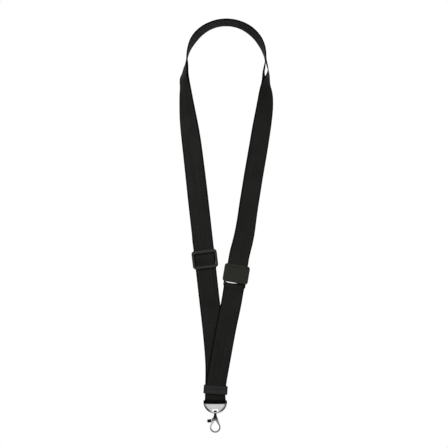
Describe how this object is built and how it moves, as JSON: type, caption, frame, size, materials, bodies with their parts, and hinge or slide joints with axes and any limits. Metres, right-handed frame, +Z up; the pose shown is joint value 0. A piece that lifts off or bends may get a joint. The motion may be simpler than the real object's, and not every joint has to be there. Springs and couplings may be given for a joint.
{
  "type": "lanyard",
  "caption": "Neck lanyard of flat woven webbing with an adjusting slider, a breakaway clip, a keeper band and a swivelling lobster hook with a sprung gate.",
  "frame": {"origin": "inner face of the webbing at the top of the neck arch, in the middle of its width", "axes": "+Z up along the hanging lanyard, +X to the right as seen from the front, -Y towards the viewer, so the webbing of both legs faces -Y"},
  "size_m": [0.1159, 0.025, 0.5017],
  "materials": {
    "webbing": "woven black polyester",
    "keeper_webbing": "smooth black band",
    "thread": "black bonded thread",
    "slider_plastic": "satin black acetal",
    "clip_plastic": "fine matt black acetal",
    "chrome": "polished nickel plate",
    "pin_steel": "plain steel",
    "knob_plastic": "black"
  },
  "bodies": {
    "strap": {"webbing_arch_outer": "webbing", "webbing_arch_inner": "webbing", "webbing_left_leg_outer": "webbing", "webbing_left_leg_inner": "webbing", "webbing_left_adjust": "webbing", "webbing_left_through": "webbing", "webbing_left_lower": "webbing", "webbing_right_leg_outer": "webbing", "webbing_right_leg_inner": "webbing", "webbing_right_release_outer": "webbing", "webbing_right_release_inner": "webbing", "webbing_right_lower": "webbing", "webbing_hook_fold": "webbing", "webbing_receptacle_loop": "webbing", "receptacle_box_stitch": "thread", "breakaway_receptacle": "clip_plastic"},
    "slider": {"slider_frame": "slider_plastic", "webbing_slider_loop": "webbing", "slider_box_stitch": "thread"},
    "plug": {"breakaway_plug": "clip_plastic", "webbing_plug_loop": "webbing"},
    "keeper": {"keeper_band": "keeper_webbing", "keeper_overlap": "keeper_webbing"},
    "hook_base": {"half_moon_base": "chrome"},
    "hook": {"hook_body": "chrome", "swivel_post": "chrome", "swivel_washer": "chrome", "gate_pin": "pin_steel", "gate_spring": "pin_steel"},
    "gate": {"gate_lever": "chrome", "gate_knob": "knob_plastic"}
  },
  "joints": [
    {"name": "slider_slide", "type": "slide", "parent": "strap", "child": "slider", "axis": [-0.1116, 0, 0.9938], "range_m": [-0.022, 0.036], "deforming": ["webbing_left_adjust"]},
    {"name": "breakaway_release", "type": "slide", "parent": "strap", "child": "plug", "axis": [0.165, 0, 0.9863], "range_m": [0, 0.014], "deforming": ["webbing_right_release_outer", "webbing_right_release_inner"]},
    {"name": "keeper_slide", "type": "slide", "parent": "strap", "child": "keeper", "axis": [0.0698, 0, 0.9976], "range_m": [-0.0021, 0.0054]},
    {"name": "hook_base_swing", "type": "hinge", "parent": "strap", "child": "hook_base", "pos_m": [-0.0134, 0, -0.4614], "axis": [1, 0, 0], "range_deg": [-70, 70]},
    {"name": "hook_swivel", "type": "hinge", "parent": "hook_base", "child": "hook", "pos_m": [-0.0134, 0, -0.476], "axis": [0, 0, 1], "continuous": true},
    {"name": "gate_pivot", "type": "hinge", "parent": "hook", "child": "gate", "pos_m": [-0.016, 0, -0.4836], "axis": [0, -1, 0], "range_deg": [0, 25], "stiffness_Nm_per_rad": 0.001, "springref_deg": -14.32}
  ]
}
